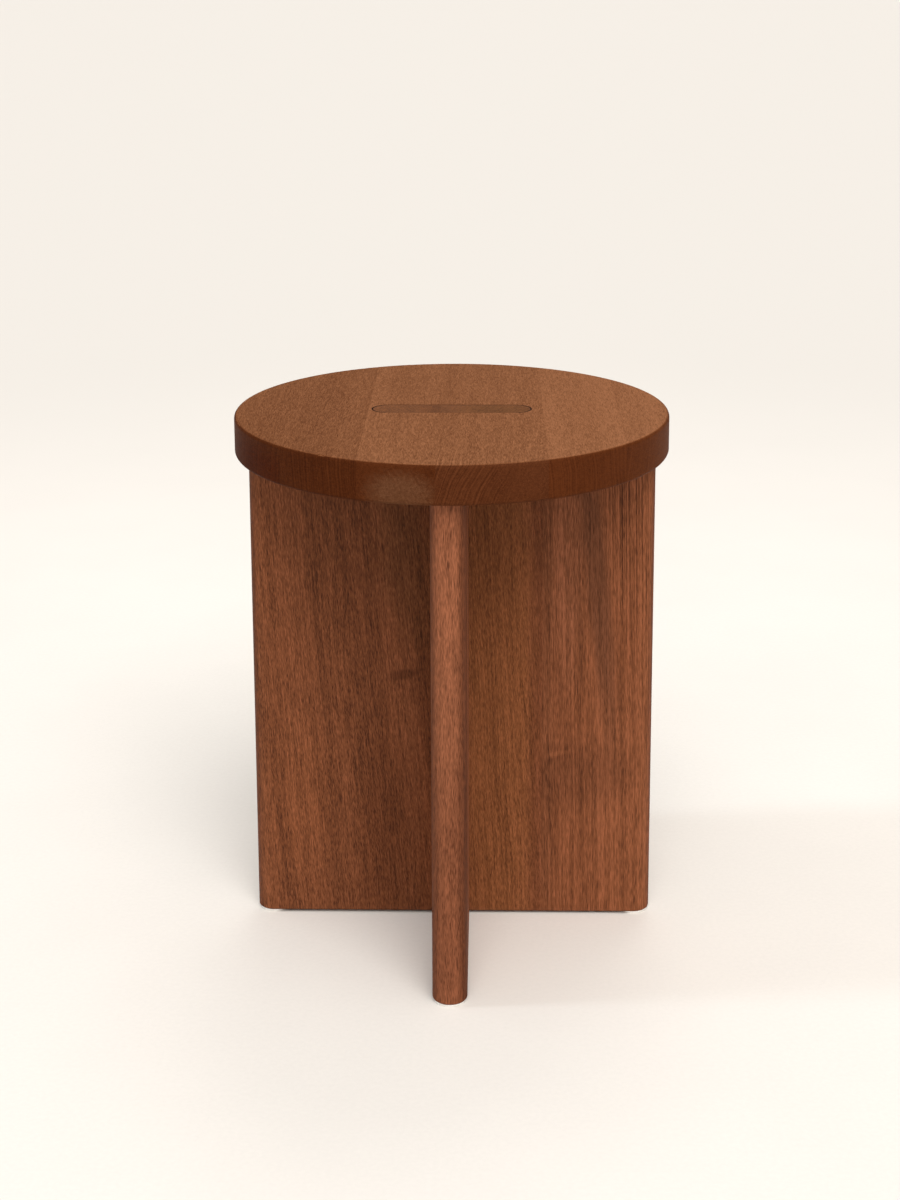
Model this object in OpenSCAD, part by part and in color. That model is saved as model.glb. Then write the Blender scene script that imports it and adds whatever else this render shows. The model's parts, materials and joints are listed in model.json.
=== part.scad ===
// Round-topped wooden stool: a glued-up disc seat on two plank panels that cross.
// The wide panel runs left to right and its tenon comes up through the seat.
// A fin stands square to it on the front face and another on the rear face.
// Origin: on the floor, under the centre of the seat. +X right, +Y rear, +Z up.

/* [Seat] */
// Diameter of the round seat
seat_d = 360; // [356:1:400]
// Thickness of the seat
seat_t = 32; // [28:1:40]
// Radius of the rounding round the seat's upper and lower rim
rim_r = 3; // [1:0.5:3]
// Glue line between seat staves 1 and 2, measured along X
seat_glue_1 = -131; // [-140:1:-125]
// Glue line between seat staves 2 and 3
seat_glue_2 = -69; // [-76:1:-68]
// Glue line between seat staves 3 and 4
seat_glue_3 = -9; // [-20:1:-8]
// Glue line between seat staves 4 and 5
seat_glue_4 = 76; // [68:1:90]
// Glue line between seat staves 5 and 6
seat_glue_5 = 138; // [125:1:145]

/* [Base] */
// Height of the stool from the floor to the top of the seat
stool_h = 447; // [420:1:480]
// Distance from the centre line to the outer edge of every panel
reach = 170; // [166:1:172]
// Thickness of the panels
panel_t = 28; // [24:1:32]
// Radius of the rounding along the panels' lower arrises
foot_r = 2; // [1:0.5:4]
// Glue line between wide panel staves 1 and 2, measured along X
panel_glue_1 = -86; // [-100:1:-70]
// Glue line between wide panel staves 2 and 3
panel_glue_2 = -9; // [-20:1:-8]
// Glue line between wide panel staves 3 and 4
panel_glue_3 = 76; // [70:1:100]
// Distance from the centre line to the glue line in each fin
fin_glue = 92; // [84:1:100]

/* [Tenon] */
// Length of the through tenon, over its two round ends
tenon_l = 132; // [100:1:132]
// Clearance between tenon and mortise, all round
mortise_gap = 0.2; // [0.1:0.05:0.3]
// Radius of the eased arris on the tenon's top
tenon_arris_r = 0.5; // [0.3:0.1:1]

/* [Dowels] */
// Diameter of every dowel
dowel_d = 10; // [8:1:10]
// Radial clearance of a dowel in its hole
dowel_gap = 0.05; // [0.02:0.01:0.1]
// Depth to which a seat dowel enters the seat
dowel_in_seat = 20; // [12:1:22]
// Depth to which a dowel enters a panel or a fin
dowel_in_panel = 30; // [15:1:36]

/* [Glides] */
// Diameter of a glide
glide_d = 25; // [18:1:26]
// Thickness of a glide
glide_t = 2; // [1.6:0.1:4]
// Length of a glide nail below its head
nail_l = 16; // [10:1:20]

/* [Hidden] */
$fn = 96;
seat_z = stool_h - seat_t;          // underside of the seat
panel_h = seat_z - glide_t;         // height of every panel and fin
nose_r = panel_t / 2;               // full round on every upright edge
nose_at = reach - nose_r;           // centre of each upright edge's round
tenon_at = tenon_l / 2 - nose_r;    // centre of each of the tenon's round ends
through_h = stool_h - glide_t;      // height of the wide panel over its tenon
far = seat_d;                       // a size well outside the stool

seat_lines = [-far, seat_glue_1, seat_glue_2, seat_glue_3, seat_glue_4, seat_glue_5, far];

dowel_r = dowel_d / 2;
dowel_chamfer = 1;
dowel_end_gap = 1;                  // air left beyond each end of a dowel
cross_rows = [for (part = [0.14, 0.37, 0.60, 0.83]) glide_t + part * panel_h];
fin_dowel_y = [60, 130];            // seat dowels in a fin, from the centre line
shoulder_dowel_x = 115;             // seat dowels in the wide panel's shoulders

nail_r = 1.2;
nail_gap = 0.05;
nail_head_r = 3;
nail_head_t = 0.6;
nail_point_l = 3;
nail_recess = 0.4;                  // nail head set up from the floor
nail_end_gap = 1;
glide_edge_r = 0.8;

seat_colour = "#7a4a2e";
panel_colour = "#6b3a26";
fin_colour = "#7d4431";
dowel_colour = "#c9a877";
glide_colour = "#eceae4";
nail_colour = "#b9bcc0";

// ---- shared shapes ----

// Section across a plank h high: eased lower arrises, and upper ones where top_r is given
module plank_section(h, top_r = 0) {
    difference() {
        translate([-nose_r, 0]) square([panel_t, h]);
        for (s = [-1, 1]) {
            translate([s * nose_r, 0]) arris_waste(foot_r, s, 1);
            if (top_r > 0) translate([s * nose_r, h]) arris_waste(top_r, s, -1);
        }
    }
}

// The corner that a rounding of radius r takes off, on the side sx, inwards along sy
module arris_waste(r, sx, sy) {
    difference() {
        square(2 * r, center = true);
        translate([-sx * r, sy * r]) circle(r);
    }
}

// A straight length of plank, from x0 to x1 along X
module plank(x0, x1, h, top_r = 0) {
    translate([x0, 0, glide_t]) rotate([90, 0, 90])
        linear_extrude(x1 - x0) plank_section(h, top_r);
}

// A plank's full-round upright edge, at the origin, bulging towards -X
module nose(h, top_r = 0) {
    translate([0, 0, glide_t]) rotate([0, 0, 90]) rotate_extrude(angle = 180)
        intersection() {
            plank_section(h, top_r);
            square([panel_t, h]);
        }
}

// A beech dowel standing on the origin, chamfered at both ends
module dowel(l) {
    rotate_extrude() polygon([
        [0, 0], [dowel_r - dowel_chamfer, 0], [dowel_r, dowel_chamfer],
        [dowel_r, l - dowel_chamfer], [dowel_r - dowel_chamfer, l], [0, l]
    ]);
}

// Where the seat dowels stand, at the height of the seat's underside
module at_fin_dowels(side) {
    for (y = fin_dowel_y) translate([0, side * y, seat_z]) children();
}
module at_shoulder_dowels() {
    for (s = [-1, 1]) translate([s * shoulder_dowel_x, 0, seat_z]) children();
}

// The seat dowels' hole, from the panel below to the seat above
module seat_dowel_hole() {
    translate([0, 0, -dowel_in_panel - dowel_end_gap])
        cylinder(r = dowel_r + dowel_gap, h = dowel_in_panel + dowel_in_seat + 2 * dowel_end_gap);
}

// The cross dowels' holes, through the wide panel and into both fins
module cross_dowel_holes() {
    l = panel_t + 2 * (dowel_in_panel + dowel_end_gap);
    for (z = cross_rows) translate([0, 0, z]) rotate([90, 0, 0])
        cylinder(r = dowel_r + dowel_gap, h = l, center = true);
}

// The hole that a glide nail makes, going up from the panel's foot
module nail_hole() {
    translate([0, 0, -1])
        cylinder(r = nail_r + nail_gap, h = nail_recess + nail_head_t + nail_l + nail_end_gap + 1);
}

// ---- seat ----

// The whole round seat before its staves are told apart
module seat_disc() {
    translate([0, 0, seat_z]) rotate_extrude() difference() {
        square([seat_d / 2, seat_t]);
        translate([seat_d / 2, 0]) arris_waste(rim_r, 1, 1);
        translate([seat_d / 2, seat_t]) arris_waste(rim_r, 1, -1);
    }
}

// The slot that the tenon comes up through
module mortise() {
    r = nose_r + mortise_gap;
    translate([0, 0, seat_z - 1]) {
        for (s = [-1, 1]) translate([s * tenon_at, 0, 0]) cylinder(r = r, h = seat_t + 2);
        translate([-tenon_at, -r, 0]) cube([2 * tenon_at, 2 * r, seat_t + 2]);
    }
}

// Stave i of the seat, counted from the left, with its grain running front to back
module seat_stave(i) {
    x0 = seat_lines[i - 1];
    x1 = seat_lines[i];
    color(seat_colour) difference() {
        intersection() {
            seat_disc();
            translate([x0, -far, 0]) cube([x1 - x0, 2 * far, 2 * stool_h]);
        }
        if (i == 3 || i == 4) mortise();
        if (i == 4) for (side = [-1, 1]) at_fin_dowels(side) seat_dowel_hole();
        if (i == 2 || i == 5) at_shoulder_dowels() seat_dowel_hole();
    }
}

// ---- wide panel ----

// An outer stave of the wide panel: side -1 is the left one, 1 the right one
module panel_outer(side, glue) {
    color(panel_colour) difference() {
        mirror([side > 0 ? 1 : 0, 0, 0]) {
            plank(-nose_at, -abs(glue), panel_h);
            translate([-nose_at, 0, 0]) nose(panel_h);
        }
        at_shoulder_dowels() seat_dowel_hole();
        translate([side * nose_at, 0, 0]) nail_hole();
    }
}

// An inner stave of the wide panel, which carries one half of the tenon
module panel_inner(side, outer_glue, centre_glue) {
    color(panel_colour) difference() {
        mirror([side > 0 ? 1 : 0, 0, 0]) {
            plank(-abs(outer_glue), side * -centre_glue, panel_h);
            plank(-tenon_at, side * -centre_glue, through_h, tenon_arris_r);
            translate([-tenon_at, 0, 0]) nose(through_h, tenon_arris_r);
        }
        cross_dowel_holes();
    }
}

// ---- fins ----

// A fin's stave next to the wide panel: side -1 is the front, 1 the rear
module fin_inner(side) {
    color(fin_colour) difference() {
        rotate([0, 0, side * -90]) plank(-fin_glue, -nose_r, panel_h);
        at_fin_dowels(side) seat_dowel_hole();
        cross_dowel_holes();
    }
}

// A fin's outer stave, with its full-round edge
module fin_outer(side) {
    color(fin_colour) difference() {
        rotate([0, 0, side * -90]) {
            plank(-nose_at, -fin_glue, panel_h);
            translate([-nose_at, 0, 0]) nose(panel_h);
        }
        at_fin_dowels(side) seat_dowel_hole();
        translate([0, side * nose_at, 0]) nail_hole();
    }
}

// ---- dowels ----

module cross_dowels() {
    l = panel_t + 2 * dowel_in_panel;
    color(dowel_colour) for (z = cross_rows)
        translate([0, l / 2, z]) rotate([90, 0, 0]) dowel(l);
}

module seat_dowel() {
    translate([0, 0, -dowel_in_panel]) dowel(dowel_in_panel + dowel_in_seat);
}

module seat_dowels() {
    color(dowel_colour) {
        for (side = [-1, 1]) at_fin_dowels(side) seat_dowel();
        at_shoulder_dowels() seat_dowel();
    }
}

// ---- glides and their nails ----

// A round glide under the foot at x, y, with a sunk hole for the nail's head
module glide(x, y) {
    r = glide_d / 2;
    hole_r = nail_r + nail_gap;
    sunk_r = nail_head_r + nail_gap;
    sunk_t = nail_recess + nail_head_t;
    color(glide_colour) translate([x, y, 0]) rotate_extrude() difference() {
        translate([hole_r, 0]) square([r - hole_r, glide_t]);
        translate([r, 0]) arris_waste(glide_edge_r, 1, 1);
        square([sunk_r, sunk_t]);
    }
}

// A nail with a flat head, point upwards
module glide_nail() {
    z0 = nail_recess;
    z1 = z0 + nail_head_t;
    z2 = z1 + nail_l;
    rotate_extrude() polygon([
        [0, z0], [nail_head_r, z0], [nail_head_r, z1], [nail_r, z1],
        [nail_r, z2 - nail_point_l], [0, z2]
    ]);
}

module glide_nails() {
    color(nail_colour) for (a = [0:90:270]) rotate([0, 0, a])
        translate([nose_at, 0, 0]) glide_nail();
}

seat_stave(1);  // seat_stave_1
seat_stave(2);  // seat_stave_2
seat_stave(3);  // seat_stave_3
seat_stave(4);  // seat_stave_4
seat_stave(5);  // seat_stave_5
seat_stave(6);  // seat_stave_6
panel_outer(-1, panel_glue_1);  // panel_stave_1
panel_inner(-1, panel_glue_1, panel_glue_2);  // panel_stave_2
panel_inner(1, panel_glue_3, panel_glue_2);  // panel_stave_3
panel_outer(1, panel_glue_3);  // panel_stave_4
fin_inner(-1);  // front_fin_inner
fin_outer(-1);  // front_fin_outer
fin_inner(1);  // rear_fin_inner
fin_outer(1);  // rear_fin_outer
cross_dowels();
seat_dowels();
glide(-nose_at, 0);  // glide_left
glide(nose_at, 0);  // glide_right
glide(0, -nose_at);  // glide_front
glide(0, nose_at);  // glide_rear
glide_nails();
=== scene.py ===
"""A round-topped hardwood stool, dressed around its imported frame.

The seat is six staves glued edge to edge, with their grain running front to back. It stands on a wide
panel of four upright staves, whose tenon comes up through the seat, and on two fins that meet that panel
in a cross. Everything that shows is one reddish, oiled hardwood with open pores, interlocked grain and a
ribbon figure. Each stave is cut from its own place in the log, so no two of them match.
"""

import json
import logging
import math
from dataclasses import dataclass, field, replace
from enum import Enum

import bpy
from mathutils import Euler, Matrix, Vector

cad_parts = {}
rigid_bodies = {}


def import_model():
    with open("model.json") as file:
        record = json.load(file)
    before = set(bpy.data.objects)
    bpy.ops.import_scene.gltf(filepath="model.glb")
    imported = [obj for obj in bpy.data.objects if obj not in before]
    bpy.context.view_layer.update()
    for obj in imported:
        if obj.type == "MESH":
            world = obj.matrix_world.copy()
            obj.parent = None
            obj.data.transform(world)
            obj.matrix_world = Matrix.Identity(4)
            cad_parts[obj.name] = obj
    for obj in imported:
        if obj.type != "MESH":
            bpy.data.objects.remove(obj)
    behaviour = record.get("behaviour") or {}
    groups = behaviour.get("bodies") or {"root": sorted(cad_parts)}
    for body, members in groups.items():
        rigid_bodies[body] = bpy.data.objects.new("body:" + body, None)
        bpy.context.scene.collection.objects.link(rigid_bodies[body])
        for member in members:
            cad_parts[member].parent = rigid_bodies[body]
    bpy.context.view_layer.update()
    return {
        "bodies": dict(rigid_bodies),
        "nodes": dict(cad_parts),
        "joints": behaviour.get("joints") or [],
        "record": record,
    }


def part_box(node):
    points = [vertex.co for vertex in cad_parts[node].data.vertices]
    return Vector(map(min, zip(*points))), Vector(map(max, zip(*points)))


LOG = logging.getLogger("stool")
MM = 0.001
NOISE_RANGE = (0.3, 0.7)

Colour = tuple[float, float, float]
Pair = tuple[float, float]
Triple = tuple[float, float, float]
Socket = bpy.types.NodeSocket


# ---- shader building blocks ----


class Graph:
    """Places and links the nodes of one shader tree."""

    def __init__(self, tree: bpy.types.NodeTree) -> None:
        """Starts on a tree, which is left as it is.

        Args:
            tree: The material's or group's node tree.
        """
        self.tree = tree

    def node(self, kind: str, **settings: object) -> bpy.types.Node:
        """Adds a node.

        Args:
            kind: The node's type, such as "ShaderNodeMath".
            **settings: Properties of the node and their values.

        Returns:
            The new node.
        """
        made = self.tree.nodes.new(kind)
        for name, value in settings.items():
            setattr(made, name, value)
        return made

    def feed(self, socket: Socket, value: object) -> None:
        """Links a socket to another one, or sets its constant.

        Args:
            socket: The input to fill.
            value: A socket to link from, a number, or a tuple of three numbers.
        """
        if isinstance(value, bpy.types.NodeSocket):
            self.tree.links.new(value, socket)
        elif socket.type == "RGBA" and isinstance(value, tuple):
            socket.default_value = (*value[:3], 1.0)
        else:
            socket.default_value = value

    def math(self, operation: str, a: object, b: object = 0.0, clamp: bool = False) -> Socket:
        """Adds a Math node on one or two values and returns its result."""
        made = self.node("ShaderNodeMath", operation=operation, use_clamp=clamp)
        self.feed(made.inputs[0], a)
        self.feed(made.inputs[1], b)
        return made.outputs[0]

    def vector(self, operation: str, a: object, b: object = (0.0, 0.0, 0.0)) -> Socket:
        """Adds a Vector Math node and returns its vector."""
        made = self.node("ShaderNodeVectorMath", operation=operation)
        self.feed(made.inputs[0], a)
        self.feed(made.inputs[1], b)
        return made.outputs["Vector"]

    def scaled(self, vector: object, by: float) -> Socket:
        """Multiplies a vector by one number."""
        made = self.node("ShaderNodeVectorMath", operation="SCALE")
        self.feed(made.inputs[0], vector)
        made.inputs["Scale"].default_value = by
        return made.outputs["Vector"]

    def measure(self, operation: str, a: object, b: object = (0.0, 0.0, 0.0)) -> Socket:
        """Adds a Vector Math node and returns its value, such as a length or a dot product."""
        made = self.node("ShaderNodeVectorMath", operation=operation)
        self.feed(made.inputs[0], a)
        self.feed(made.inputs[1], b)
        return made.outputs["Value"]

    def parts(self, vector: object) -> tuple[Socket, Socket, Socket]:
        """Splits a vector into its X, Y and Z."""
        made = self.node("ShaderNodeSeparateXYZ")
        self.feed(made.inputs[0], vector)
        return made.outputs[0], made.outputs[1], made.outputs[2]

    def join(self, x: object, y: object, z: object) -> Socket:
        """Makes a vector of three values."""
        made = self.node("ShaderNodeCombineXYZ")
        for socket, value in zip(made.inputs, (x, y, z)):
            self.feed(socket, value)
        return made.outputs[0]

    def ease(self, value: object, low: float, high: float, start: float = 0.0, end: float = 1.0) -> Socket:
        """Moves smoothly from start to end as a value goes from low to high.

        Args:
            value: The value to follow.
            low: Where the change begins.
            high: Where the change ends.
            start: The result at low.
            end: The result at high.

        Returns:
            The eased value.
        """
        made = self.node("ShaderNodeMapRange", interpolation_type="SMOOTHSTEP")
        for name, number in (("From Min", low), ("From Max", high), ("To Min", start), ("To Max", end)):
            made.inputs[name].default_value = number
        self.feed(made.inputs["Value"], value)
        return made.outputs["Result"]

    def stretched(self, noise: object, start: float = 0.0, end: float = 1.0) -> Socket:
        """Spreads a noise, which seldom leaves the middle of its range, from start to end."""
        return self.ease(noise, *NOISE_RANGE, start, end)

    def noise(self, vector: object, detail: float = 2.0, rough: float = 0.5) -> bpy.types.Node:
        """Adds a noise whose cells are one unit of the vector across."""
        made = self.node("ShaderNodeTexNoise")
        self.feed(made.inputs["Vector"], vector)
        made.inputs["Scale"].default_value = 1.0
        made.inputs["Detail"].default_value = detail
        made.inputs["Roughness"].default_value = rough
        return made

    def mix(self, factor: object, a: object, b: object, blend: str = "MIX") -> Socket:
        """Mixes two colours.

        Args:
            factor: How much of b shows.
            a: The colour under it.
            b: The colour over it.
            blend: Blender's name for the way they combine.

        Returns:
            The mixed colour.
        """
        made = self.node("ShaderNodeMix", data_type="RGBA", blend_type=blend)
        self.feed(made.inputs[0], factor)
        self.feed(made.inputs[6], a)
        self.feed(made.inputs[7], b)
        return made.outputs[2]

    def group(self, tree: bpy.types.NodeTree, **values: object) -> bpy.types.Node:
        """Places a node group.

        Args:
            tree: The group.
            **values: What feeds each input, by name, with _ for a space.

        Returns:
            The group's node.
        """
        made = self.node("ShaderNodeGroup", node_tree=tree)
        for name, value in values.items():
            self.feed(made.inputs[name.replace("_", " ")], value)
        return made


class GroupMaker:
    """Starts a shader node group with named inputs and outputs."""

    KINDS = {"vector": "NodeSocketVector", "value": "NodeSocketFloat", "colour": "NodeSocketColor"}

    def __init__(self, name: str, inputs: dict[str, str], outputs: dict[str, str]) -> None:
        """Makes the group's tree and its two end nodes.

        Args:
            name: The group's name.
            inputs: Each input's kind, by name.
            outputs: Each output's kind, by name.
        """
        self.tree = bpy.data.node_groups.new(name, "ShaderNodeTree")
        for ends, way in ((inputs, "INPUT"), (outputs, "OUTPUT")):
            for label, kind in ends.items():
                self.tree.interface.new_socket(label, in_out=way, socket_type=self.KINDS[kind])
        self.graph = Graph(self.tree)
        self.inputs = self.graph.node("NodeGroupInput").outputs
        self.outputs = self.graph.node("NodeGroupOutput").inputs

    def give(self, name: str, socket: Socket) -> None:
        """Links a result to one of the group's outputs."""
        self.graph.feed(self.outputs[name], socket)


class TimberGroups:
    """The node groups that every wooden finish shares.

    All of them work in board space, in millimetres: X across the board's face, Y through its thickness
    and Z along its grain. A cell is the size of a noise's lumps in those directions, and an edge is
    where a mask begins to change and where it has changed.
    """

    SWAY_CELL = (45.0, 45.0, 150.0)
    FIBRE_CELL = (1.4, 1.4, 30.0)
    PATCH_CELL = (3.0, 3.0, 40.0)
    BAND_RAGGED = 0.45
    BAND_DEPTH = 2.0
    PATCH_RAGGED = 0.7
    PATCH_EDGE = (0.35, 1.15)
    PORE_EDGE = (0.14, 0.46)
    END_EDGE = (0.15, 0.8)
    TOP_EDGE = (0.72, 0.995)

    def __init__(self) -> None:
        """Builds each group once."""
        self.flow = self._flow()
        self.rings = self._rings()
        self.bands = self._bands()
        self.flecks = self._flecks()
        self.pores = self._pores()
        self.patch = self._patch()
        self.cut = self._cut()

    def _flow(self) -> bpy.types.NodeTree:
        """Grain that wanders: it shifts a point across the board by a slow noise."""
        made = GroupMaker("Grain flow", {"Point": "vector", "Wander": "value"}, {"Point": "vector"})
        g = made.graph
        slow = g.noise(g.vector("DIVIDE", made.inputs["Point"], self.SWAY_CELL), 2.0)
        shift = g.vector("SUBTRACT", slow.outputs["Color"], (0.5, 0.5, 0.5))
        sway = g.node("ShaderNodeVectorMath", operation="SCALE")
        g.feed(sway.inputs[0], g.vector("MULTIPLY", shift, (1.0, 1.0, 0.0)))
        g.feed(sway.inputs["Scale"], made.inputs["Wander"])
        made.give("Point", g.vector("ADD", made.inputs["Point"], sway.outputs["Vector"]))
        return made.tree

    @staticmethod
    def _rings() -> bpy.types.NodeTree:
        """Growth rings about the pith, 0 in early wood and 1 in late wood, unevenly spaced."""
        made = GroupMaker(
            "Growth rings", {"Point": "vector", "Pith": "vector", "Gap": "value"}, {"Ring": "value"}
        )
        g = made.graph
        from_pith = g.vector("SUBTRACT", made.inputs["Point"], made.inputs["Pith"])
        radius = g.measure("LENGTH", g.vector("MULTIPLY", from_pith, (1.0, 1.0, 0.0)))
        uneven = g.node("ShaderNodeTexNoise", noise_dimensions="1D")
        g.feed(uneven.inputs["W"], g.math("DIVIDE", radius, made.inputs["Gap"]))
        uneven.inputs["Scale"].default_value = 1.0
        uneven.inputs["Detail"].default_value = 3.0
        uneven.inputs["Roughness"].default_value = 0.6
        made.give("Ring", g.stretched(uneven.outputs[0]))
        return made.tree

    def _bands(self) -> bpy.types.NodeTree:
        """Bands along the board, with edges feathered by the fibres: ribbon figure, or finer streaks."""
        made = GroupMaker(
            "Grain bands", {"Point": "vector", "Width": "value", "Length": "value"}, {"Bands": "value"}
        )
        g = made.graph
        x, y, z = g.parts(made.inputs["Point"])
        feather = g.noise(g.vector("DIVIDE", made.inputs["Point"], self.FIBRE_CELL), 2.0, 0.6)
        ragged = g.math("MULTIPLY", g.math("SUBTRACT", feather.outputs[0], 0.5), self.BAND_RAGGED)
        across = g.math("ADD", g.math("DIVIDE", x, made.inputs["Width"]), ragged)
        through = g.math("DIVIDE", y, g.math("MULTIPLY", made.inputs["Width"], self.BAND_DEPTH))
        along = g.math("DIVIDE", z, made.inputs["Length"])
        made.give("Bands", g.stretched(g.noise(g.join(across, through, along)).outputs[0]))
        return made.tree

    @staticmethod
    def _cell(made: GroupMaker) -> Socket:
        """The group's point, counted in its Width across and through the board and its Length along."""
        g = made.graph
        x, y, z = g.parts(made.inputs["Point"])
        width, length = made.inputs["Width"], made.inputs["Length"]
        return g.join(g.math("DIVIDE", x, width), g.math("DIVIDE", y, width), g.math("DIVIDE", z, length))

    def _flecks(self) -> bpy.types.NodeTree:
        """Crowded light and dark dashes, which open-pored wood is full of."""
        made = GroupMaker(
            "Flecks", {"Point": "vector", "Width": "value", "Length": "value"}, {"Flecks": "value"}
        )
        g = made.graph
        made.give("Flecks", g.stretched(g.noise(self._cell(made), 1.0).outputs[0]))
        return made.tree

    def _pores(self) -> bpy.types.NodeTree:
        """Open pores cut along the grain: short dark dashes on a face, dots on an end."""
        made = GroupMaker(
            "Pores",
            {"Point": "vector", "Width": "value", "Length": "value", "Share": "value"},
            {"Pores": "value"},
        )
        g = made.graph
        near = g.node("ShaderNodeTexVoronoi", feature="F1")
        g.feed(near.inputs["Vector"], self._cell(made))
        near.inputs["Scale"].default_value = 1.0
        chance = g.parts(near.outputs["Color"])[0]
        open_here = g.math("LESS_THAN", chance, made.inputs["Share"])
        dash = g.ease(near.outputs["Distance"], *self.PORE_EDGE, 1.0, 0.0)
        made.give("Pores", g.math("MULTIPLY", dash, open_here))
        return made.tree

    def _patch(self) -> bpy.types.NodeTree:
        """A soft-edged patch of another tone, ragged along the grain.

        Its first input is the point seen from the patch: 0 at its middle and 1 long at its edge.
        """
        made = GroupMaker("Tone patch", {"Inside": "vector", "Point": "vector"}, {"Patch": "value"})
        g = made.graph
        ragged = g.noise(g.vector("DIVIDE", made.inputs["Point"], self.PATCH_CELL), 3.0, 0.6)
        wobble = g.math("MULTIPLY", g.math("SUBTRACT", ragged.outputs[0], 0.5), self.PATCH_RAGGED)
        spread = g.math("ADD", g.measure("LENGTH", made.inputs["Inside"]), wobble)
        made.give("Patch", g.ease(spread, *self.PATCH_EDGE, 1.0, 0.0))
        return made.tree

    def _cut(self) -> bpy.types.NodeTree:
        """How the surface lies: End is 1 where it cuts squarely across the grain, Edge is 1 off the top."""
        made = GroupMaker("Cut", {"Grain": "vector"}, {"End": "value", "Edge": "value"})
        g = made.graph
        normal = g.node("ShaderNodeNewGeometry").outputs["True Normal"]
        square = g.math("ABSOLUTE", g.measure("DOT_PRODUCT", normal, made.inputs["Grain"]))
        made.give("End", g.ease(square, *self.END_EDGE))
        made.give("Edge", g.ease(g.parts(normal)[2], *self.TOP_EDGE, 1.0, 0.0))
        return made.tree


# ---- finishes ----


class Grain(Enum):
    """Which way a board lies in the stool: how its board space is turned, and its grain's direction."""

    WIDE_UPRIGHT = ((0.0, 0.0, 0.0), (0.0, 0.0, 1.0))
    FIN_UPRIGHT = ((0.0, 0.0, -90.0), (0.0, 0.0, 1.0))
    FRONT_TO_BACK = ((90.0, 0.0, 0.0), (0.0, 1.0, 0.0))

    @property
    def turn(self) -> Triple:
        """Degrees about X, Y and Z that take the stool's axes to the board's."""
        return self.value[0]

    @property
    def along(self) -> Triple:
        """The grain's direction in the stool's axes."""
        return self.value[1]


@dataclass(frozen=True)
class Tone:
    """The colours of one kind of board: its range on a face, and what multiplies it elsewhere.

    The end colour is for end grain, and the edge colour for whatever doesn't face up.
    """

    dark: Colour
    middle: Colour
    light: Colour
    pore: Colour
    end: Colour
    edge: Colour = (1.0, 1.0, 1.0)
    gloss: float = 0.18


@dataclass(frozen=True)
class Zone:
    """A soft-edged oval in a board, in millimetres in the stool's axes, tilted in degrees about Y."""

    centre: Triple
    reach: Triple
    tilt: float = 0.0

    @classmethod
    def through_panel(cls, x: float, z: float, wide: float, high: float, tilt: float = 0.0) -> "Zone":
        """A zone that goes right through the wide panel, with its middle and its reach in X and Z."""
        return cls((x, -14.0, z), (wide, 60.0, high), tilt)

    @classmethod
    def down_fin(cls, x: float, wide: float) -> "Zone":
        """A zone down the whole front edge of the front fin, with its middle and its reach in X."""
        return cls((x, -166.0, 210.0), (wide, 36.0, 600.0))


@dataclass(frozen=True)
class Patch:
    """A zone whose colour is multiplied by another, with a strength from 0 to 1. Most hold the wood's own
    marks; others hold painted shade and painted sheen.
    """

    zone: Zone
    colour: Colour
    strength: float = 1.0


@dataclass(frozen=True)
class Ruling:
    """A zone where the growth rings come out as fine lines, with how strongly they show."""

    zone: Zone
    strength: float


@dataclass(frozen=True)
class Figure:
    """How strongly each part of the figure shows, and at what size in millimetres."""

    ring: float = 0.10
    ring_gap: float = 1.5
    end_ring: float = 0.2
    ribbon: float = 0.22
    ribbon_width: float = 18.0
    ribbon_length: float = 420.0
    streak: float = 0.22
    streak_width: float = 1.6
    streak_length: float = 100.0
    mottle: float = 0.12
    mottle_width: float = 3.0
    mottle_length: float = 30.0
    fleck: float = 0.76
    fleck_width: float = 0.40
    fleck_length: float = 5.5
    pore: float = 0.64
    pore_width: float = 0.70
    pore_length: float = 13.0
    pore_share: float = 0.30
    wander: float = 10.0


@dataclass(frozen=True)
class Board:
    """One stave: where in the log it comes from, how light it is and how its figure runs.

    The pith is placed across the board and through it, in millimetres, in the stool's axes turned to
    the board's; log_place only moves the other noises, so that no two boards match.
    """

    node: str
    grain: Grain
    tone: Tone
    figure: Figure
    shade: float = 0.5
    lean: float = 0.0
    log_place: Triple = (0.0, 0.0, 0.0)
    pith: Pair = (600.0, 200.0)
    patches: tuple[Patch, ...] = ()
    ruling: Ruling | None = None
    tenon: bool = False


@dataclass(frozen=True)
class TenonOutline:
    """The thin dark glue line round the tenon, on the seat's top, in millimetres.

    It is darkest in its core, a share of its width. Round the tenon's ends it shows in full, from a
    bend's length past the straight sides, and along those it is weaker at the front than at the rear.
    """

    radius: float
    top: float
    length: float = 132.0
    width: float = 1.1
    core: float = 0.25
    bend: float = 4.0
    front: float = 0.15
    rear: float = 0.6
    depth: float = 2.5
    arris: float = 0.5
    colour: Colour = (0.022, 0.009, 0.005)

    def mask(self, g: Graph, point: Socket) -> Socket:
        """Where the glue line shows.

        Args:
            g: The material's graph.
            point: The point in the stool's axes, in millimetres.

        Returns:
            The line's strength, from 0 to 1.
        """
        x, y, z = g.parts(point)
        half_straight = self.length / 2 - self.radius
        past = g.math("MAXIMUM", g.math("SUBTRACT", g.math("ABSOLUTE", x), half_straight), 0.0)
        away = g.measure("LENGTH", g.join(past, y, 0.0))
        off_line = g.math("ABSOLUTE", g.math("SUBTRACT", away, self.radius))
        line = g.ease(off_line, self.core * self.width, self.width, 1.0, 0.0)
        sides = g.ease(y, -self.radius, self.radius, self.front, self.rear)
        strong = g.math("MAXIMUM", g.ease(past, 0.0, self.bend), sides)
        on_top = g.ease(z, self.top - self.depth, self.top - self.arris)
        return g.math("MULTIPLY", g.math("MULTIPLY", line, strong), on_top)


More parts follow.
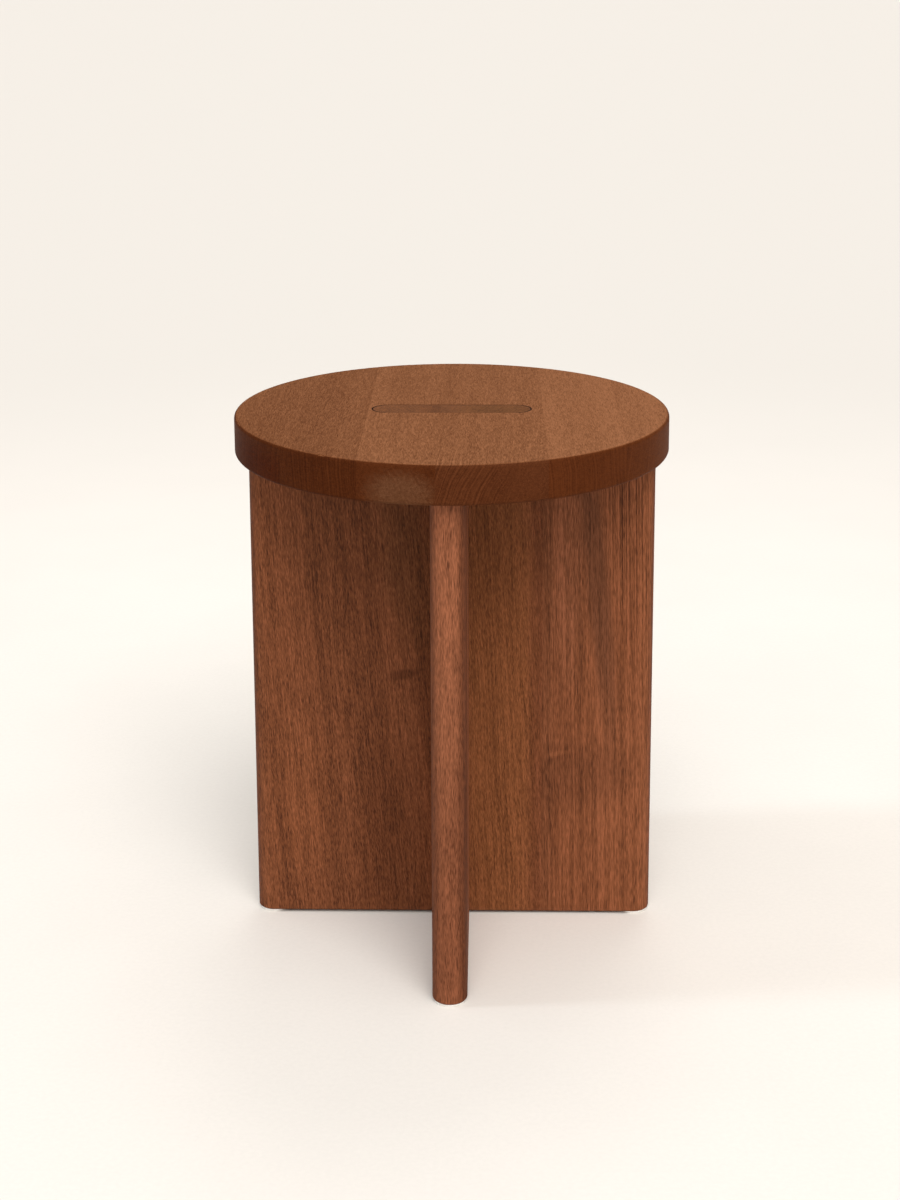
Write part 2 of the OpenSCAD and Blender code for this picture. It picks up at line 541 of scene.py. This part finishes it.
@dataclass(frozen=True)
class OiledHardwood:
    """Reddish open-pored hardwood under a thin coat of oil: satin on its faces, drier in its pores.

    The flecks play a little on the roughness too, and stand up by a share of the pores' depth, which is
    in millimetres.
    """

    groups: TimberGroups
    outline: TenonOutline
    satin: float = 0.56
    dry: float = 0.22
    play: float = 0.1
    relief: float = 0.6
    pore_depth: float = 0.12
    fleck_rise: float = 0.35

    def make(self, board: Board) -> bpy.types.Material:
        """Makes one board's material.

        Args:
            board: The stave that it is for.

        Returns:
            The material.
        """
        made = bpy.data.materials.new(f"{board.node}_oiled")
        made.use_nodes = True
        tree = made.node_tree
        g = Graph(tree)
        shader = tree.nodes["Principled BSDF"]
        figure = board.figure

        point = g.scaled(g.node("ShaderNodeTexCoord").outputs["Object"], 1 / MM)
        space = self._board_space(g, point, board)
        flowing = g.group(self.groups.flow, Point=space, Wander=figure.wander).outputs[0]
        fleck = g.group(
            self.groups.flecks, Point=flowing, Width=figure.fleck_width, Length=figure.fleck_length
        ).outputs[0]
        pores = g.group(
            self.groups.pores, Point=flowing, Width=figure.pore_width, Length=figure.pore_length,
            Share=figure.pore_share,
        ).outputs[0]
        cut = g.group(self.groups.cut, Grain=board.grain.along)

        colour = self._face_colour(g, board, point, flowing, fleck, cut.outputs["End"])
        # The patches: the wood's own marks, and in places painted shade and painted sheen.
        for patch in board.patches:
            shown = self._inside(g, point, flowing, patch.zone)
            colour = g.mix(g.math("MULTIPLY", shown, patch.strength), colour, patch.colour, "MULTIPLY")
        colour = g.mix(cut.outputs["End"], colour, board.tone.end, "MULTIPLY")
        # The edge colour darkens whatever doesn't face up. On the seat's side staves it also holds painted
        # shade.
        colour = g.mix(cut.outputs["Edge"], colour, board.tone.edge, "MULTIPLY")
        colour = g.mix(g.math("MULTIPLY", pores, figure.pore), colour, board.tone.pore)
        if board.tenon:
            colour = g.mix(self.outline.mask(g, point), colour, self.outline.colour)
        g.feed(shader.inputs["Base Color"], colour)

        rough = g.math("ADD", g.math("MULTIPLY", pores, self.dry), self.satin)
        uneven = g.math("MULTIPLY", g.math("SUBTRACT", fleck, 0.5), self.play)
        g.feed(shader.inputs["Roughness"], g.math("ADD", rough, uneven))
        self._relief(g, shader, pores, fleck)
        shader.inputs["Specular IOR Level"].default_value = board.tone.gloss
        return made

    @staticmethod
    def _board_space(g: Graph, point: Socket, board: Board) -> Socket:
        """Turns a point in the stool's axes into the board's own, leaned and moved along the log."""
        turned = g.node("ShaderNodeMapping", vector_type="POINT")
        g.feed(turned.inputs["Vector"], point)
        turned.inputs["Rotation"].default_value = [math.radians(a) for a in board.grain.turn]
        leaned = g.node("ShaderNodeMapping", vector_type="POINT")
        g.feed(leaned.inputs["Vector"], turned.outputs[0])
        leaned.inputs["Rotation"].default_value = (0.0, math.radians(board.lean), 0.0)
        leaned.inputs["Location"].default_value = board.log_place
        return leaned.outputs[0]

    def _face_colour(
        self, g: Graph, board: Board, point: Socket, flowing: Socket, fleck: Socket, end: Socket
    ) -> Socket:
        """The wood's colour on a face, from its rings, ribbon, streaks and flecks.

        Args:
            g: The material's graph.
            board: The stave.
            point: The point in the stool's axes, in millimetres.
            flowing: The point in board space, moved by the grain's wandering.
            fleck: The flecks, from 0 to 1.
            end: How squarely the surface cuts the grain, from 0 to 1.

        Returns:
            The colour.
        """
        figure = board.figure
        pith = (board.pith[0] + board.log_place[0], board.pith[1] + board.log_place[1], 0.0)
        ring = g.group(self.groups.rings, Point=flowing, Pith=pith, Gap=figure.ring_gap).outputs[0]
        ribbon = g.group(
            self.groups.bands, Point=flowing, Width=figure.ribbon_width, Length=figure.ribbon_length
        ).outputs[0]
        streak = g.group(
            self.groups.bands, Point=flowing, Width=figure.streak_width, Length=figure.streak_length
        ).outputs[0]
        mottle = g.group(
            self.groups.flecks, Point=flowing, Width=figure.mottle_width, Length=figure.mottle_length
        ).outputs[0]
        ruled = g.math("ADD", g.math("MULTIPLY", end, figure.end_ring - figure.ring), figure.ring)
        if board.ruling:
            shown = self._inside(g, point, flowing, board.ruling.zone)
            ruled = g.math("ADD", ruled, g.math("MULTIPLY", shown, board.ruling.strength))
        value = board.shade
        for strength, part in (
            (ruled, ring), (figure.ribbon, ribbon), (figure.streak, streak), (figure.mottle, mottle),
            (figure.fleck, fleck),
        ):
            value = g.math("ADD", g.math("MULTIPLY", g.math("SUBTRACT", part, 0.5), strength), value)
        ramp = g.node("ShaderNodeValToRGB")
        g.feed(ramp.inputs["Fac"], value)
        stops = ramp.color_ramp.elements
        stops.new(0.5)
        for stop, colour in zip(stops, (board.tone.dark, board.tone.middle, board.tone.light)):
            stop.color = (*colour, 1.0)
        return ramp.outputs["Color"]

    def _inside(self, g: Graph, point: Socket, flowing: Socket, zone: Zone) -> Socket:
        """How far a point is inside a zone, from 0 outside to 1 in its middle."""
        inside = g.node("ShaderNodeMapping", vector_type="TEXTURE")
        g.feed(inside.inputs["Vector"], point)
        inside.inputs["Location"].default_value = zone.centre
        inside.inputs["Rotation"].default_value = (0.0, math.radians(zone.tilt), 0.0)
        inside.inputs["Scale"].default_value = zone.reach
        return g.group(self.groups.patch, Inside=inside.outputs[0], Point=flowing).outputs[0]

    def _relief(self, g: Graph, shader: bpy.types.Node, pores: Socket, fleck: Socket) -> None:
        """Sinks the pores and raises the fibres a little."""
        bump = g.node("ShaderNodeBump")
        bump.inputs["Strength"].default_value = self.relief
        bump.inputs["Distance"].default_value = self.pore_depth * MM
        height = g.math("SUBTRACT", g.math("MULTIPLY", fleck, self.fleck_rise), pores)
        g.feed(bump.inputs["Height"], height)
        g.feed(shader.inputs["Normal"], bump.outputs[0])


@dataclass(frozen=True)
class PlainBeech:
    """Bare pale beech, as dowels are turned from: a fine straight grain and short dark rays.

    Fibres and rays have a width and a length in millimetres.
    """

    groups: TimberGroups
    dark: Colour = (0.46, 0.30, 0.16)
    light: Colour = (0.66, 0.48, 0.29)
    fibre: Pair = (1.1, 20.0)
    ray: Pair = (0.8, 2.6)
    ray_share: float = 0.4
    ray_strength: float = 0.4
    roughness: Pair = (0.6, 0.8)

    def make(self) -> bpy.types.Material:
        """Makes the material."""
        made = bpy.data.materials.new("beech_bare")
        made.use_nodes = True
        g = Graph(made.node_tree)
        shader = made.node_tree.nodes["Principled BSDF"]
        point = g.scaled(g.node("ShaderNodeTexCoord").outputs["Object"], 1 / MM)
        fibre = g.group(
            self.groups.flecks, Point=point, Width=self.fibre[0], Length=self.fibre[1]
        ).outputs[0]
        rays = g.group(
            self.groups.pores, Point=point, Width=self.ray[0], Length=self.ray[1], Share=self.ray_share
        ).outputs[0]
        colour = g.mix(fibre, self.dark, self.light)
        shown = g.math("MULTIPLY", rays, self.ray_strength)
        g.feed(shader.inputs["Base Color"], g.mix(shown, colour, self.dark))
        g.feed(shader.inputs["Roughness"], g.ease(fibre, 0.0, 1.0, *self.roughness))
        return made


@dataclass(frozen=True)
class MouldedNylon:
    """Off-white moulded nylon: faintly mottled, with a dull bloom and a fine grain from its mould."""

    body: Colour = (0.80, 0.79, 0.75)
    bloom: Colour = (0.88, 0.87, 0.84)
    lumps_per_metre: float = 220.0
    roughness: Pair = (0.42, 0.58)
    relief: float = 0.3
    grain_depth: float = 0.05

    def make(self) -> bpy.types.Material:
        """Makes the material."""
        made = bpy.data.materials.new("nylon_white")
        made.use_nodes = True
        g = Graph(made.node_tree)
        shader = made.node_tree.nodes["Principled BSDF"]
        place = g.scaled(g.node("ShaderNodeTexCoord").outputs["Object"], self.lumps_per_metre)
        mottle = g.noise(place, 4.0, 0.6).outputs[0]
        g.feed(shader.inputs["Base Color"], g.mix(g.stretched(mottle), self.body, self.bloom))
        g.feed(shader.inputs["Roughness"], g.stretched(mottle, *self.roughness))
        bump = g.node("ShaderNodeBump")
        bump.inputs["Strength"].default_value = self.relief
        bump.inputs["Distance"].default_value = self.grain_depth * MM
        g.feed(bump.inputs["Height"], mottle)
        g.feed(shader.inputs["Normal"], bump.outputs[0])
        return made


@dataclass(frozen=True)
class ZincSteel:
    """Bright zinc-plated steel with fine drawing marks, as a nail's head has."""

    plate: Colour = (0.56, 0.57, 0.58)
    dull: Colour = (0.38, 0.39, 0.41)
    marks_per_metre: Triple = (4000.0, 600.0, 600.0)
    contrast: Pair = (0.35, 0.65)
    roughness: Pair = (0.28, 0.5)

    def make(self) -> bpy.types.Material:
        """Makes the material."""
        made = bpy.data.materials.new("zinc_steel")
        made.use_nodes = True
        g = Graph(made.node_tree)
        shader = made.node_tree.nodes["Principled BSDF"]
        shader.inputs["Metallic"].default_value = 1.0
        where = g.node("ShaderNodeTexCoord").outputs["Object"]
        marks = g.noise(g.vector("MULTIPLY", where, self.marks_per_metre), 3.0, 0.6).outputs[0]
        g.feed(shader.inputs["Base Color"], g.mix(g.ease(marks, *self.contrast), self.dull, self.plate))
        g.feed(shader.inputs["Roughness"], g.stretched(marks, *self.roughness))
        return made


# ---- the stool's sub-assemblies ----


def dress(frame: dict, node: str, material: bpy.types.Material) -> None:
    """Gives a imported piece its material.

    Args:
        node: The piece's name.
        material: Its finish.
    """
    piece = frame["nodes"][node]
    piece.data.materials.clear()
    piece.data.materials.append(material)
    LOG.info("%s: %s, %d faces", node, material.name, len(piece.data.polygons))


# The seat's rim and underside take the edge colour. SEAT_TONE, used by the side staves, gives a darker,
# redder rim than SEAT_MIDDLE_TONE: painted shade where the rim turns away from the front light.
SEAT_TONE = Tone(
    dark=(0.120, 0.040, 0.014), middle=(0.206, 0.079, 0.032), light=(0.308, 0.126, 0.056),
    pore=(0.085, 0.028, 0.011), end=(0.76, 0.70, 0.66), edge=(0.41, 0.285, 0.18), gloss=0.02,
)
SEAT_MIDDLE_TONE = replace(SEAT_TONE, edge=(0.48, 0.38, 0.31))
PANEL_TONE = Tone(
    dark=(0.064, 0.0195, 0.0085), middle=(0.164, 0.0535, 0.0205), light=(0.285, 0.096, 0.042),
    pore=(0.044, 0.0145, 0.007), end=(0.79, 0.86, 0.76), gloss=0.07,
)
FIN_TONE = Tone(
    dark=(0.105, 0.034, 0.015), middle=(0.216, 0.075, 0.035), light=(0.335, 0.118, 0.057),
    pore=(0.065, 0.021, 0.011), end=(0.70, 0.70, 0.72), gloss=0.05,
)
SEAT_FIGURE = Figure(
    ring=0.0, end_ring=0.45, ribbon=0.14, streak=0.10, mottle=0.20, mottle_width=2.2, mottle_length=12.0,
    fleck=0.65, fleck_length=6.0,
    pore=0.40, pore_length=9.0, pore_share=0.40, wander=8.0,
)
PLAIN_END = replace(SEAT_FIGURE, end_ring=0.12)
ARCHED_END = replace(SEAT_FIGURE, end_ring=0.10, pore=0.50, pore_share=0.5)
MOTTLED = Figure(
    streak=0.30, streak_width=1.1, streak_length=55.0, fleck=0.66, fleck_length=4.5,
    pore=0.78, pore_width=0.60, pore_length=17.0, wander=7.0,
)
OLIVE = Figure(ring=0.20, ribbon=0.15, fleck=0.62, fleck_length=4.5, pore=0.55)
STRAIGHT = Figure(ring=0.16, streak=0.34, fleck=0.6, fleck_length=7.0, pore=0.5, wander=3.0)
FIN_FIGURE = Figure(ribbon=0.22, fleck=0.7, pore=0.85, wander=5.0)


@dataclass
class Staves:
    """A sub-assembly that is glued up from staves."""

    boards: tuple[Board, ...] = ()

    def build(self, frame: dict, finish: OiledHardwood) -> None:
        """Dresses every stave.

        Args:
            finish: The hardwood that they are all made of.
        """
        for board in self.boards:
            dress(frame, board.node, finish.make(board))


@dataclass
class Seat(Staves):
    """The round seat: six staves, glued edge to edge."""

    boards: tuple[Board, ...] = (
        # The staves grow lighter from left to right: partly their own tones, partly a painted sheen that
        # brightens the seat's right half.
        Board(
            "seat_stave_1", Grain.FRONT_TO_BACK, SEAT_TONE, SEAT_FIGURE, shade=0.37, lean=2.0,
            log_place=(310.0, 40.0, 0.0), pith=(500.0, -400.0), patches=(
                # Painted shade: the rim's left end made darker and redder, where it turns away from the
                # front light.
                Patch(Zone((-165.0, -80.0, 424.0), (60.0, 120.0, 22.0)), (0.80, 0.60, 0.42)),
            ),
        ),
        Board(
            "seat_stave_2", Grain.FRONT_TO_BACK, SEAT_TONE, SEAT_FIGURE, shade=0.36, lean=-1.5,
            log_place=(-540.0, 130.0, 90.0), pith=(460.0, -460.0),
        ),
        Board(
            "seat_stave_3", Grain.FRONT_TO_BACK, SEAT_TONE, PLAIN_END, shade=0.52, lean=1.0,
            log_place=(820.0, -75.0, 260.0), pith=(-160.0, -371.0), tenon=True, patches=(
                # Painted sheen: a paler, greyer patch on the front of the rim, where it faces the front
                # light.
                Patch(Zone((-36.0, -178.0, 424.0), (33.0, 24.0, 19.0)), (1.60, 2.55, 4.50), 0.9),
            ),
        ),
        Board(
            "seat_stave_4", Grain.FRONT_TO_BACK, SEAT_MIDDLE_TONE, ARCHED_END, shade=0.50, lean=-1.0,
            log_place=(-160.0, 210.0, 40.0), pith=(165.0, -371.0), tenon=True,
            ruling=Ruling(Zone((6.0, -178.0, 431.0), (42.0, 40.0, 40.0)), 0.6),
        ),
        Board(
            "seat_stave_5", Grain.FRONT_TO_BACK, SEAT_TONE, SEAT_FIGURE, shade=0.70, lean=1.5,
            log_place=(450.0, -310.0, 180.0), pith=(-500.0, -380.0),
        ),
        Board(
            "seat_stave_6", Grain.FRONT_TO_BACK, SEAT_TONE, SEAT_FIGURE, shade=0.70,
            log_place=(-930.0, 25.0, 330.0), pith=(-450.0, -500.0),
        ),
    )


@dataclass
class WidePanel(Staves):
    """The wide panel: four upright staves, the middle two of which end in the tenon."""

    boards: tuple[Board, ...] = (
        Board(
            "panel_stave_1", Grain.WIDE_UPRIGHT, PANEL_TONE, MOTTLED, shade=0.47, lean=4.0,
            log_place=(120.0, 60.0, 0.0), pith=(-500.0, 300.0), patches=(
                # Painted shade: a darker strip down the panel's rounded left end, where it turns away from
                # the light.
                Patch(Zone.through_panel(-171.0, 210.0, 7.0, 700.0), (0.76, 0.67, 0.60)),
                Patch(Zone.through_panel(-128.0, 100.0, 32.0, 90.0), (1.10, 1.10, 1.08)),
            ),
        ),
        Board(
            "panel_stave_2", Grain.WIDE_UPRIGHT, PANEL_TONE, MOTTLED, shade=0.48, lean=5.0,
            log_place=(-380.0, 25.0, 150.0), pith=(400.0, 260.0), tenon=True, patches=(
                # Partly the wood's own darker zone, partly a painted shadow of the fin and the seat.
                Patch(Zone.through_panel(-36.0, 318.0, 32.0, 105.0, -13.0), (0.86, 0.91, 0.88)),
                # Partly the wood's darker tone, partly painted shade from the fin beside it.
                Patch(Zone.through_panel(-54.0, 80.0, 34.0, 120.0), (0.86, 0.83, 0.80)),
                # Painted shade in the inner corner where the panel meets the front fin.
                Patch(Zone.through_panel(-14.0, 210.0, 20.0, 600.0), (0.88, 0.84, 0.80)),
                Patch(Zone.through_panel(-41.0, 219.0, 18.0, 5.5, -10.0), (0.60, 0.58, 0.56)),
                Patch(Zone((-40.0, 0.0, 449.0), (80.0, 60.0, 14.0)), (1.22, 1.24, 1.26)),
            ),
        ),
        Board(
            "panel_stave_3", Grain.WIDE_UPRIGHT, PANEL_TONE, OLIVE, shade=0.60, lean=3.0,
            log_place=(640.0, -85.0, 300.0), pith=(-420.0, 120.0), tenon=True, patches=(
                Patch(Zone.through_panel(38.0, 220.0, 46.0, 500.0), (0.99, 1.02, 0.88)),
                Patch(Zone.through_panel(72.0, 260.0, 9.0, 500.0), (0.74, 0.70, 0.72), 0.8),
            ),
        ),
        Board(
            "panel_stave_4", Grain.WIDE_UPRIGHT, PANEL_TONE, STRAIGHT, shade=0.62, lean=1.0,
            log_place=(-870.0, 140.0, 70.0), pith=(-700.0, 60.0), patches=(
                Patch(Zone.through_panel(79.0, 260.0, 8.0, 600.0), (0.88, 0.90, 0.92), 0.7),
                # Painted sheen: a pale greyish patch high on the panel's right half.
                Patch(Zone.through_panel(97.0, 335.0, 17.0, 150.0), (1.12, 1.17, 1.28), 0.9),
                Patch(Zone.through_panel(122.0, 300.0, 12.0, 170.0, -5.5), (0.60, 0.63, 0.68), 0.9),
                Patch(Zone.through_panel(108.0, 128.0, 58.0, 34.0, -8.0), (0.76, 0.76, 0.77), 0.8),
                Patch(Zone.through_panel(88.0, 148.0, 13.0, 2.4, -14.0), (1.28, 1.30, 1.30), 0.6),
                Patch(Zone.through_panel(92.0, 144.0, 16.0, 2.6, -14.0), (0.82, 0.80, 0.80), 0.7),
                # Painted shade: a darker strip down the panel's rounded right end, where it turns away from
                # the light.
                Patch(Zone.through_panel(171.0, 210.0, 5.0, 700.0), (0.84, 0.76, 0.72)),
            ),
            ruling=Ruling(Zone.through_panel(148.0, 385.0, 28.0, 190.0, -5.0), 0.74),
        ),
    )


@dataclass
class Fins(Staves):
    """The front and the rear fin, two upright staves each."""

    boards: tuple[Board, ...] = (
        Board(
            "front_fin_outer", Grain.FIN_UPRIGHT, FIN_TONE, FIN_FIGURE, shade=0.50,
            log_place=(260.0, 15.0, 40.0), patches=(
                # Painted shade: darker strips down both sides of the fin's rounded nose, where it turns
                # away from the front light.
                Patch(Zone.down_fin(-15.0, 7.5), (0.74, 0.70, 0.66)),
                Patch(Zone.down_fin(15.0, 9.0), (0.60, 0.54, 0.48)),
                Patch(Zone((0.0, -165.0, 40.0), (60.0, 40.0, 190.0)), (0.84, 0.81, 0.79)),
            ),
        ),
        Board(
            "front_fin_inner", Grain.FIN_UPRIGHT, FIN_TONE, FIN_FIGURE, shade=0.48, lean=1.0,
            log_place=(-420.0, 75.0, 210.0),
        ),
        Board(
            "rear_fin_inner", Grain.FIN_UPRIGHT, FIN_TONE, FIN_FIGURE, shade=0.50, lean=-1.0,
            log_place=(730.0, -45.0, 120.0),
        ),
        Board(
            "rear_fin_outer", Grain.FIN_UPRIGHT, FIN_TONE, FIN_FIGURE, shade=0.46,
            log_place=(-610.0, 95.0, 280.0),
        ),
    )


@dataclass
class Hardware:
    """What holds the stool together and what it stands on: dowels, glides and their nails."""

    dowels: tuple[str, ...] = ("cross_dowels", "seat_dowels")
    glides: tuple[str, ...] = ("glide_left", "glide_right", "glide_front", "glide_rear")
    nails: str = "glide_nails"

    def build(self, frame: dict, groups: TimberGroups) -> None:
        """Dresses the dowels, the glides and the nails."""
        beech = PlainBeech(groups).make()
        for node in self.dowels:
            dress(frame, node, beech)
        nylon = MouldedNylon().make()
        for node in self.glides:
            dress(frame, node, nylon)
        dress(frame, self.nails, ZincSteel().make())


# ---- the studio ----


@dataclass(frozen=True)
class WideLamp:
    """A far lamp as wide as a wall, placed by its direction from the stool, in degrees."""

    name: str
    round_right: float
    above: float
    spread: float
    strength: float
    colour: Colour = (1.0, 1.0, 1.0)

    def build(self) -> None:
        """Hangs the lamp."""
        lamp = bpy.data.lights.new(self.name, "SUN")
        lamp.angle = math.radians(self.spread)
        lamp.energy = self.strength
        lamp.color = self.colour
        held = bpy.data.objects.new(self.name, lamp)
        bpy.context.scene.collection.objects.link(held)
        held.rotation_euler = Euler((math.radians(90 - self.above), 0.0, math.radians(self.round_right)))


@dataclass(frozen=True)
class SoftRoom:
    """The pale room round the stool, whose light is stronger from the front and from overhead.

    Turning says where the front's share begins and ends, by the cosine of the angle to the front side,
    and rising does the same for the overhead share, by the way's Z.
    """

    colour: Colour = (1.0, 0.965, 0.925)
    behind: float = 0.22
    front: float = 1.30
    overhead: float = 0.45
    front_side: Triple = (0.34, -0.94, 0.0)
    turning: Pair = (0.05, 1.0)
    rising: Pair = (0.3, 1.0)
    wall: Colour = (0.93, 0.89, 0.84)

    def build(self) -> None:
        """Makes the world: what lights the stool, and the even wall that is seen behind it."""
        world = bpy.data.worlds.new("studio")
        world.use_nodes = True
        g = Graph(world.node_tree)
        lit = world.node_tree.nodes["Background"]
        way = g.node("ShaderNodeTexCoord").outputs["Generated"]
        facing = g.measure("DOT_PRODUCT", way, self.front_side)
        level = g.ease(facing, *self.turning, self.behind, self.front)
        above = g.ease(g.parts(way)[2], *self.rising, 0.0, self.overhead)
        lit.inputs["Color"].default_value = (*self.colour, 1.0)
        g.feed(lit.inputs["Strength"], g.math("ADD", level, above))
        seen = g.node("ShaderNodeBackground")
        seen.inputs["Color"].default_value = (*self.wall, 1.0)
        either = g.node("ShaderNodeMixShader")
        g.feed(either.inputs[0], g.node("ShaderNodeLightPath").outputs["Is Camera Ray"])
        g.feed(either.inputs[1], lit.outputs[0])
        g.feed(either.inputs[2], seen.outputs[0])
        g.feed(world.node_tree.nodes["World Output"].inputs["Surface"], either.outputs[0])
        bpy.context.scene.world = world


@dataclass(frozen=True)
class PaleFloor:
    """A wide round floor at the stool's feet, faintly uneven in tone and a little darker far off.

    Clouds and grit are counted per metre, and the clouds' share of the unevenness is the rest of 1. The
    worn and the far tone multiply the floor's colour. The far tone is painted fall-off of the light: the
    floor darkens over a range of metres.
    """

    radius: float = 40.0
    edges: int = 96
    colour: Colour = (0.855, 0.82, 0.775)
    clouds: float = 3.0
    grit: float = 260.0
    grit_share: float = 0.4
    worn: float = 0.95
    far: float = 0.84
    darkens: Pair = (0.5, 2.4)
    roughness: float = 0.95

    def build(self) -> None:
        """Lays the floor."""
        bpy.ops.mesh.primitive_circle_add(vertices=self.edges, radius=self.radius, fill_type="NGON")
        floor = bpy.context.object
        floor.name = "floor"
        made = bpy.data.materials.new("pale_floor")
        made.use_nodes = True
        g = Graph(made.node_tree)
        shader = made.node_tree.nodes["Principled BSDF"]
        where = g.node("ShaderNodeTexCoord").outputs["Object"]
        cloud = g.noise(g.scaled(where, self.clouds), 4.0, 0.55).outputs[0]
        grit = g.noise(g.scaled(where, self.grit), 2.0, 0.6).outputs[0]
        clean = g.math(
            "ADD", g.math("MULTIPLY", cloud, 1 - self.grit_share), g.math("MULTIPLY", grit, self.grit_share)
        )
        near = g.mix(g.stretched(clean), self._times(self.worn), self.colour)
        # Painted fall-off of the light: the floor darkens away from the stool.
        away = g.ease(g.measure("LENGTH", where), *self.darkens)
        g.feed(shader.inputs["Base Color"], g.mix(away, near, self._times(self.far)))
        shader.inputs["Roughness"].default_value = self.roughness
        shader.inputs["Specular IOR Level"].default_value = 0.0
        floor.data.materials.append(made)

    def _times(self, tone: float) -> Colour:
        """The floor's colour, made lighter or darker."""
        return tuple(tone * part for part in self.colour)


@dataclass
class Studio:
    """A plain pale floor under plain soft light."""

    floor: PaleFloor = field(default_factory=PaleFloor)
    room: SoftRoom = field(default_factory=SoftRoom)
    lamps: tuple[WideLamp, ...] = (
        WideLamp("front", round_right=12.0, above=52.0, spread=40.0, strength=1.7,
                 colour=(1.0, 0.97, 0.94)),
        WideLamp("window", round_right=-85.0, above=33.0, spread=8.0, strength=0.55,
                 colour=(0.80, 0.92, 1.0)),
        WideLamp("lamp_behind", round_right=168.0, above=63.0, spread=22.0, strength=0.40,
                 colour=(1.0, 0.97, 0.93)),
    )

    def build(self) -> None:
        """Hangs the lamps, lights the room, lays the floor and sets plain colours."""
        for lamp in self.lamps:
            lamp.build()
        self.room.build()
        self.floor.build()
        bpy.context.scene.view_settings.view_transform = "Standard"


@dataclass
class Camera:
    """Where the stool is looked at from: in front, a little to the right and above the seat."""

    distance: float = 1.60
    height: float = 0.8304
    round_right: float = 1.12
    down: float = 11.37
    roll: float = 0.21
    lens: float = 59.34
    rise: float = -0.22

    def build(self) -> None:
        """Sets up the camera, with the frame dropped a little so that the uprights stay upright."""
        lens = bpy.data.cameras.new("camera")
        lens.sensor_fit = "AUTO"
        lens.sensor_width = 36.0
        lens.lens = self.lens
        lens.shift_y = self.rise
        held = bpy.data.objects.new("camera", lens)
        bpy.context.scene.collection.objects.link(held)
        turn = math.radians(self.round_right)
        held.location = (self.distance * math.sin(turn), -self.distance * math.cos(turn), self.height)
        held.rotation_euler = Euler((math.radians(90 - self.down), math.radians(self.roll), turn))
        bpy.context.scene.camera = held


def main() -> None:
    """Builds the stool on its frame, the studio round it and the camera."""
    logging.basicConfig(level=logging.INFO, format="%(message)s")
    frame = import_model()

    Camera().build()
    Studio().build()

    groups = TimberGroups()
    panel_low, panel_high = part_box("panel_stave_2")
    outline = TenonOutline(radius=(panel_high.y - panel_low.y) / 2 / MM, top=panel_high.z / MM)
    finish = OiledHardwood(groups, outline)
    Seat().build(frame, finish)
    WidePanel().build(frame, finish)
    Fins().build(frame, finish)
    Hardware().build(frame, groups)


if __name__ == "__main__":
    main()
